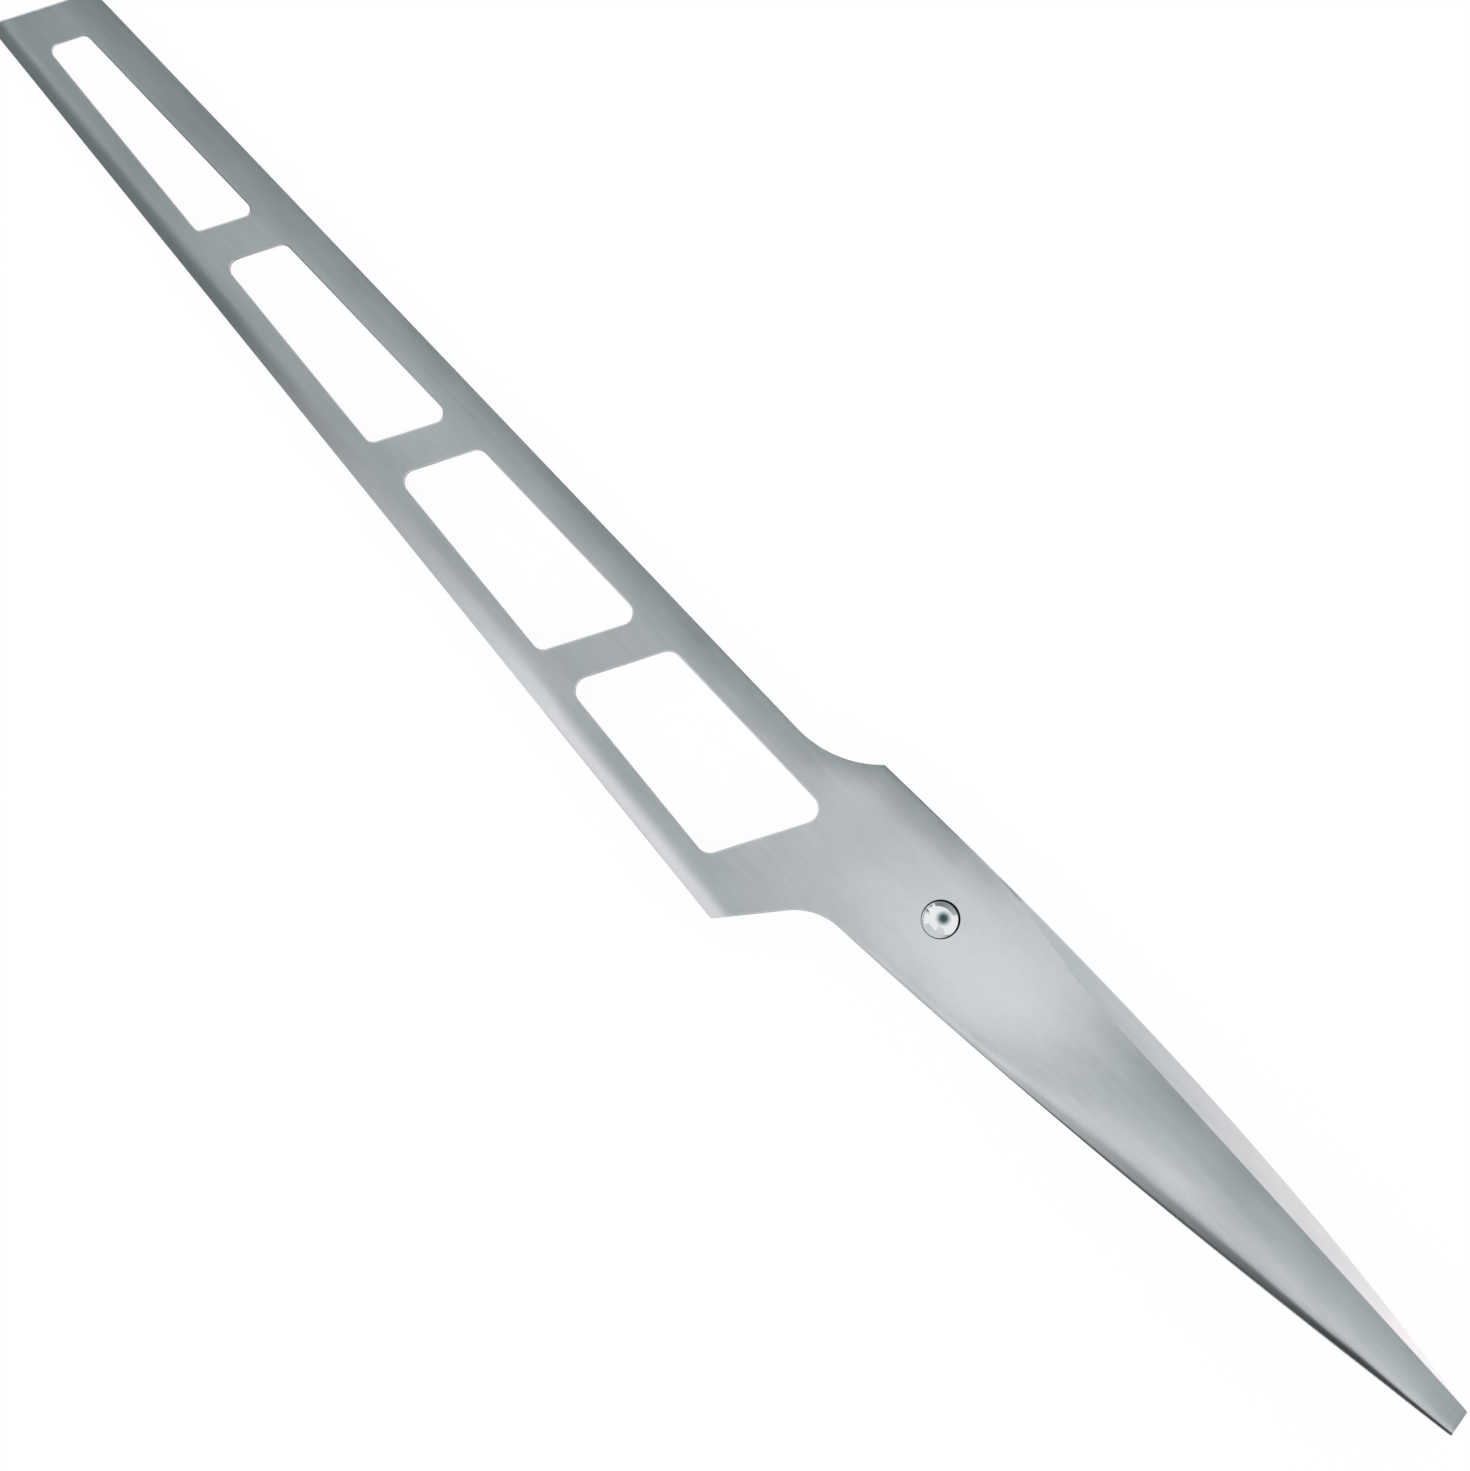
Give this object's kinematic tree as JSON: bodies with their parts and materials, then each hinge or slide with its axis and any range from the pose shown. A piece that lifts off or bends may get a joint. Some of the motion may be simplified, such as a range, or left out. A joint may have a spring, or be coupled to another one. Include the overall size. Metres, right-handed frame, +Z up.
{
  "type": "cheese knife",
  "caption": "All-steel soft-cheese knife: a tapering blade with leaning windows, ground edge and slanted tip, on a hollow wedge-shaped steel handle with a polished thumb bead.",
  "frame": {"origin": "middle of the knife's box, on the surface that the knife lies on", "axes": "+X from the blade's tip to the butt of the handle, +Y out of the spine, +Z up out of the side that faces up; the blade's plane is tipped 1.4 degrees about Y, so that the tip and the butt both touch the surface"},
  "size_m": [0.2994, 0.0354, 0.0166],
  "materials": {
    "blade_steel": "satin, brushed along the blade",
    "handle_steel": "satin, brushed along the handle",
    "weld_steel": "weld ground flush and brushed",
    "bead_steel": "mirror-polished steel"
  },
  "bodies": {
    "root": {"blade": "blade_steel", "handle_shell_front": "handle_steel", "handle_shell_back": "handle_steel", "thumb_bead": "bead_steel", "bolster_weld": "weld_steel", "spine_seam_weld": "weld_steel", "belly_seam_weld": "weld_steel"}
  },
  "joints": []
}
